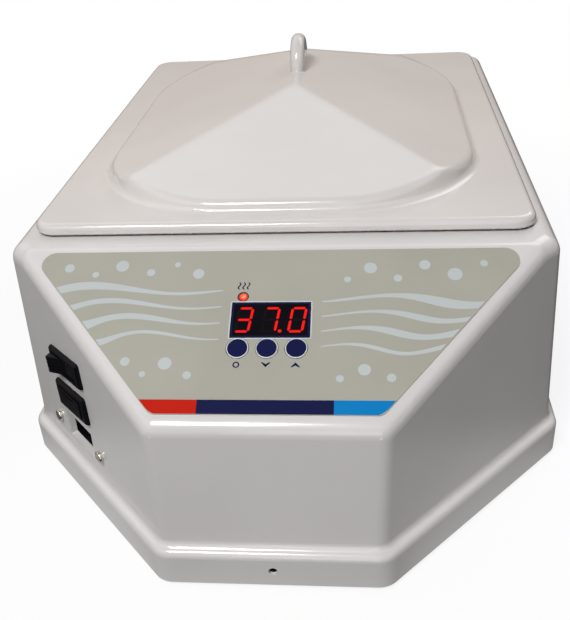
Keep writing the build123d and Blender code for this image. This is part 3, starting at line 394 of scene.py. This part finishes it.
ink_pale = ink("pale_screen_ink", "#C6CCCC")
ripple_pitch, ripple_height, ripple_waves, ripple_shift = 8.6, 3.6, 0.95, 0.4
ripple_thin, ripple_inner, ripple_margin = 0.3, 24.0, 0.9
ripples = []
t = np.linspace(0, 1, 90)
for side, first, phase in ((-1, 23.0, 0.2), (1, 29.0, 2.4)):
    for line, swell in enumerate((2.5, 1.7, 2.3, 1.3)):
        wave = np.sin(2 * np.pi * ripple_waves * t + phase + ripple_shift * line)
        middle = first + ripple_pitch * line + ripple_height * wave * (0.4 + 0.6 * t)
        width = ripple_thin + swell * t**0.8 * (0.8 + 0.2 * np.cos(9 * t + line))
        edges = []
        for drop in (middle - width, middle + width):
            outer_end = film_half(drop) - ripple_margin
            edges.append(np.stack([side * (ripple_inner * (1 - t) + outer_end * t), drop], 1))
        ripples.append(tuple(edges))
bubbles = [circle(x, drop, radius) for x, drop, radius in (
    (-103, 9.5, 2.5), (-89, 13.5, 1.7), (-76, 8.5, 3.3), (-61, 12.5, 2.1), (-48, 8, 1.5), (-37, 13.5, 2.8),
    (-67, 62, 2.3), (-58, 68.5, 1.5), (-48, 63, 3.2), (-37, 69, 2.0),
    (36, 17.5, 1.7), (47, 11, 3.1), (60, 17, 2.0), (73, 9.5, 2.7), (87, 15, 3.5), (101, 9, 1.8),
    (33, 70.5, 1.8), (44, 66, 2.9), (56, 70, 2.1))]
printed("water_pattern", "housing", ink_pale, print_rise, bands=ripples, fills=bubbles)


# Marks: a pale line round the display, navy arrows and a plain ring under the keys, a fine ring round the
# lamp, and three short heat waves over it.
def ring(x, drop, inner, outer, count=48):
    """Closed band between two circles: the centre + each radius times (cosine, sine) of even angles."""
    angle = np.linspace(0, 2 * np.pi, count + 1)
    ray = np.stack([np.cos(angle), np.sin(angle)], axis=1)
    centre = np.array([x, drop])
    return centre + inner * ray, centre + outer * ray


def rounded_box(x, drop, width, height, radius, count=6):
    """Outline of a rounded rectangle: a quarter circle about each corner's centre, in turn."""
    angle = np.linspace(0, np.pi / 2, count)
    corners = []
    for quarter, (sx, sy) in enumerate(((1, 1), (-1, 1), (-1, -1), (1, -1))):
        sweep = angle + quarter * np.pi / 2
        corners.append(np.stack([x + sx * (width / 2 - radius) + radius * np.cos(sweep),
                                 drop + sy * (height / 2 - radius) + radius * np.sin(sweep)], axis=1))
    return np.vstack(corners)


def frame_band(x, drop, width, height, border, radius):
    """Closed band of even width round a rounded rectangle, drawn outwards."""
    inner = rounded_box(x, drop, width, height, radius)
    outer = rounded_box(x, drop, width + 2 * border, height + 2 * border, radius + border)
    return np.vstack([inner, inner[:1]]), np.vstack([outer, outer[:1]])


def chevron(x, drop, up):
    """Arrow head of even limbs, pointing up or down the panel: three points outside, three inside."""
    sign = -1.0 if up else 1.0
    spread, rise, notch = 2.3, 1.25, 0.35
    inner_spread = spread * 0.62
    foot = drop - sign * rise
    outer = [(x - spread, foot), (x, drop + sign * rise), (x + spread, foot)]
    inner = [(x - inner_spread, foot), (x, drop - sign * notch), (x + inner_spread, foot)]
    return outer, inner


ink_halo = ink("halo_screen_ink", "#D8DADB")
window_x, window_drop, window_w, window_h = 0.0, 39.8, 38.0, 19.5
key_x, key_pitch, key_drop = -0.95, 13.7, 55.0
lamp_x, lamp_drop = -13.9, 27.0
halo_line, halo_corner = 0.55, 0.3
halo = frame_band(window_x, window_drop, window_w, window_h, halo_line, halo_corner)
printed("display_outline", "housing", ink_halo, print_rise + ink_gap, bands=[halo])

mark_drop = 63.6
marks = [chevron(key_x, mark_drop, False), chevron(key_x + key_pitch, mark_drop, True),
         ring(key_x - key_pitch, mark_drop, 0.95, 1.6), ring(lamp_x, lamp_drop, 2.32, 2.75)]
heat_pitch, heat_sway, heat_half, heat_over, heat_length = 2.2, 0.5, 0.34, 8.2, 4.0
run = np.linspace(0, 1, 14)
for shift in (-heat_pitch, 0.0, heat_pitch):
    sway = lamp_x + shift + heat_sway * np.sin(2 * np.pi * run)
    wave_drop = lamp_drop - heat_over + heat_length * run
    marks.append((np.stack([sway - heat_half, wave_drop], 1), np.stack([sway + heat_half, wave_drop], 1)))
printed("navy_marks", "housing", ink_navy, print_rise, bands=marks)


# Display: a dark potted block under a smoked acrylic lens, as smooth as glass, with a navy printed border.
# Lit segments glow red, and the unlit ones show faintly.
block = coated("potted_display_block", "#101012", "#161619", (0.4, 0.5), 10, 1.0, 0.00001)
dress(block, "display_module")
lens = coated("smoked_acrylic", "#0B0A10", "#100E16", (0.06, 0.1), 20, 8.0, 0.000002, 0.3)
dress(lens, "display_window")
lens_play, border_inset, border_line, border_corner = 0.6, 1.7, 0.8, 0.1
border_w, border_h = window_w - lens_play - border_inset, window_h - lens_play - border_inset
printed("window_border", "housing", ink_navy, print_rise,
        bands=[frame_band(window_x, window_drop, border_w, border_h, border_line, border_corner)])

digit_w, digit_h, digit_pitch, lean = 6.4, 12.6, 12.7, math.tan(math.radians(8.0))
bar_w, bar_gap = 1.2, 0.28


def segment(start, end, left):
    """Six-cornered bar between two points of a digit whose box starts at left: pointed at both ends, and
    leaned to the right by its height over the digit's middle times lean."""
    start, end = np.array(start, float), np.array(end, float)
    along = (end - start) / np.linalg.norm(end - start)
    across = np.array([-along[1], along[0]]) * bar_w / 2
    a, b = start + along * bar_gap, end - along * bar_gap
    tip = along * bar_w / 2
    shape = np.array([a, a + tip + across, b - tip + across, b, b - tip - across, a + tip - across])
    leaned = left + shape[:, 0] + (digit_h / 2 - shape[:, 1]) * lean
    return np.stack([leaned, window_drop - digit_h / 2 + shape[:, 1]], 1)


ends = {"tl": (0, 0), "tr": (digit_w, 0), "ml": (0, digit_h / 2), "mr": (digit_w, digit_h / 2),
        "bl": (0, digit_h), "br": (digit_w, digit_h)}
bars = {"a": ("tl", "tr"), "b": ("tr", "mr"), "c": ("mr", "br"), "d": ("bl", "br"),
        "e": ("ml", "bl"), "f": ("tl", "ml"), "g": ("ml", "mr")}
lit, unlit = [], []
for place, shown in ((-digit_pitch, "abcdg"), (0.0, "abc"), (digit_pitch, "abcdef")):
    for bar, (p, q) in bars.items():
        shape = segment(ends[p], ends[q], window_x + place - digit_w / 2)
        (lit if bar in shown else unlit).append(shape)
point_x, point_rise, point_radius = 4.6, 0.2, 0.85
lit.append(circle(window_x + point_x, window_drop + digit_h / 2 - point_rise, point_radius, 20))
glow_red, tree = bare_material("lit_red_segment")
shader = node(tree, "ShaderNodeBsdfPrincipled", Base_Color=linear("#2A0302"), Roughness=0.4,
              Specular_IOR_Level=0.15, Emission_Color=linear("#FF120A"), Emission_Strength=1.0)
node(tree, "ShaderNodeOutputMaterial", Surface=shader.outputs[0])
dark_segment = coated("unlit_segment", "#151012", "#191315", (0.08, 0.12), 8, 1.0, 0.000002, 0.3)
printed("digits_lit", "housing", glow_red, print_rise + ink_gap / 2, fills=lit)
printed("digits_unlit", "housing", dark_segment, print_rise, fills=unlit)


# Heating lamp: a cast orange-red resin bulb, lit by the chip under its middle, so its crown glows
# yellow and its rim stays deep red.
chip_shift, chip_drop, crown_rise, bulb_radius = 0.5, 0.4, 1.2, 0.0025
centre = on_film([(lamp_x + chip_shift, lamp_drop + chip_drop)], crown_rise)[0]
lamp_resin, tree = bare_material("cast_lamp_resin")
place = node(tree, "ShaderNodeTexCoord")
moved = node(tree, "ShaderNodeMapping", Vector=place.outputs["Object"], Location=tuple(-centre))
reach = node(tree, "ShaderNodeVectorMath", {"operation": "LENGTH"}, i0=moved.outputs[0])
scaled = node(tree, "ShaderNodeMath", {"operation": "MULTIPLY"}, i0=reach.outputs["Value"],
              i1=1.0 / bulb_radius)
crown = node(tree, "ShaderNodeValToRGB", stops=((0.1, "#FFC46A"), (0.35, "#F4552A"), (0.85, "#A8180E")),
             Fac=scaled.outputs[0])
shader = node(tree, "ShaderNodeBsdfPrincipled", Base_Color=linear("#D8412A"), Roughness=0.15, IOR=1.5,
              Emission_Color=crown.outputs["Color"], Emission_Strength=0.9)
node(tree, "ShaderNodeOutputMaterial", Surface=shader.outputs[0])
dress(lamp_resin, "heating_lamp")


# Keys: pale moulded caps, satin, which stand up through the film. Each has a navy face printed on its flat
# top, and the print rides with its own cap.
key_rim = coated("pale_key_rim", "#E0E2E5", "#E6E8EA", (0.3, 0.4), 8, 1.0, 0.000005)
cap_rise, key_face_radius = 0.75, 4.75
for step, name in ((-1, "key_left"), (0, "key_middle"), (1, "key_right")):
    dress(key_rim, name)
    printed(name + "_face", name, ink_navy, cap_rise + ink_gap,
            fills=[circle(key_x + step * key_pitch, key_drop, key_face_radius, 64)])


# Mains fittings: glass-filled nylon with a fine spark-eroded grain, nearly black and half matt; the rocker
# is smoother and catches the light on its edges.
nylon = coated("spark_grained_nylon", "#0A0A0E", "#101015", (0.34, 0.44), 6, 0.5, 0.000004, 0.08)
dress(nylon, "power_switch", "fuse_holder", "fuse_drawer", "mains_inlet", "safety_thermostat",
      "tact_switches")
rocker_face = coated("moulded_rocker", "#0A0A0E", "#0F0F14", (0.24, 0.32), 8, 2.0, 0.000003, 0.1)
dress(rocker_face, "power_rocker")


# Fuse: a drawn glass tube, clear with faint streaks in its gloss, which lies in the drawer between its
# two tinned caps.
clear_glass, tree = bare_material("drawn_glass_tube")
streaks = node(tree, "ShaderNodeValToRGB", stops=drift(0.02, 0.08), Fac=object_noise(tree, 3))
shader = node(tree, "ShaderNodeBsdfPrincipled", Base_Color=linear("#F2F6F5"),
              Roughness=streaks.outputs["Color"], IOR=1.47, Transmission_Weight=1.0)
node(tree, "ShaderNodeOutputMaterial", Surface=shader.outputs[0])
dress(clear_glass, "fuse")


# Boards: glass-epoxy laminate under a green solder mask, half glossy. Rows of copper 2 mm wide show
# through it, with paler gaps between them.
pattern_scale, copper_gap = 120.0, 0.03
mask, tree = bare_material("green_solder_mask")
place = node(tree, "ShaderNodeTexCoord")
tracks = node(tree, "ShaderNodeTexBrick", {"offset": 0.5}, Vector=place.outputs["Object"],
              Scale=pattern_scale, Mortar_Size=copper_gap, Color1=linear("#0E5A2C"),
              Color2=linear("#12662F"), Mortar=linear("#1D8443"))
shader = node(tree, "ShaderNodeBsdfPrincipled", Base_Color=tracks.outputs["Color"], Roughness=0.3, IOR=1.5)
node(tree, "ShaderNodeOutputMaterial", Surface=shader.outputs[0])
dress(mask, "display_board", "power_board")


# Parts on the power board: a black potted transformer, dull and lightly pitted, and a blue relay case and
# a green terminal block, both moulded and half matt.
potting = coated("potted_transformer_case", "#15161A", "#1D1E22", (0.5, 0.65), 8, 1.2, 0.00002)
dress(potting, "transformer")
relay_case = coated("moulded_relay_case", "#1C4F96", "#235AA5", (0.35, 0.45), 10, 1.0, 0.000008)
dress(relay_case, "relay")
terminal_case = coated("moulded_terminal_block", "#1C7040", "#238049", (0.4, 0.5), 8, 1.0, 0.000008)
dress(terminal_case, "terminal_block")
